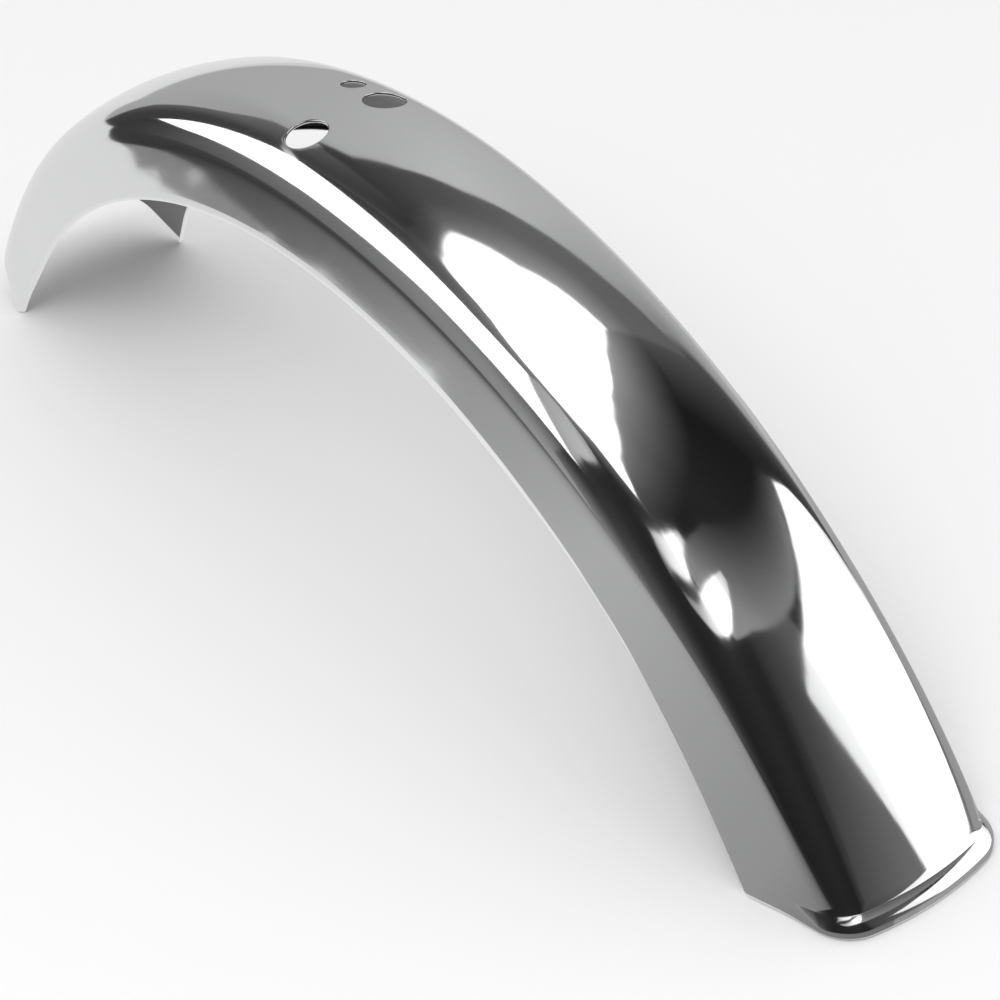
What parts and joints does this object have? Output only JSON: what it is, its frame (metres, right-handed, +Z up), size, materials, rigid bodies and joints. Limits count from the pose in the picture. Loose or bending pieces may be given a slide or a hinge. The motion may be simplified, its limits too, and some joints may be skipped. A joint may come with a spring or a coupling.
{
  "type": "moped rear mudguard",
  "caption": "Arched rear mudguard for a moped wheel: a bright pressed steel channel with rounded shoulders, turned-in edges, a raised lip across its rear end and plain punched holes.",
  "frame": {"origin": "middle of the guard's length and width, on the plane of the four wall corners that it stands on; the wheel's axle, round which the guard is rolled, is at x -7.1 mm, y 0, z -139.9 mm", "axes": "+X to the rear of the moped, along the guard; +Y to the moped's right, across the guard; +Z up"},
  "size_m": [0.518, 0.0792, 0.16],
  "materials": {
    "bright_metal": "mirror polish"
  },
  "bodies": {
    "root": {"mudguard": "bright_metal"}
  },
  "joints": []
}
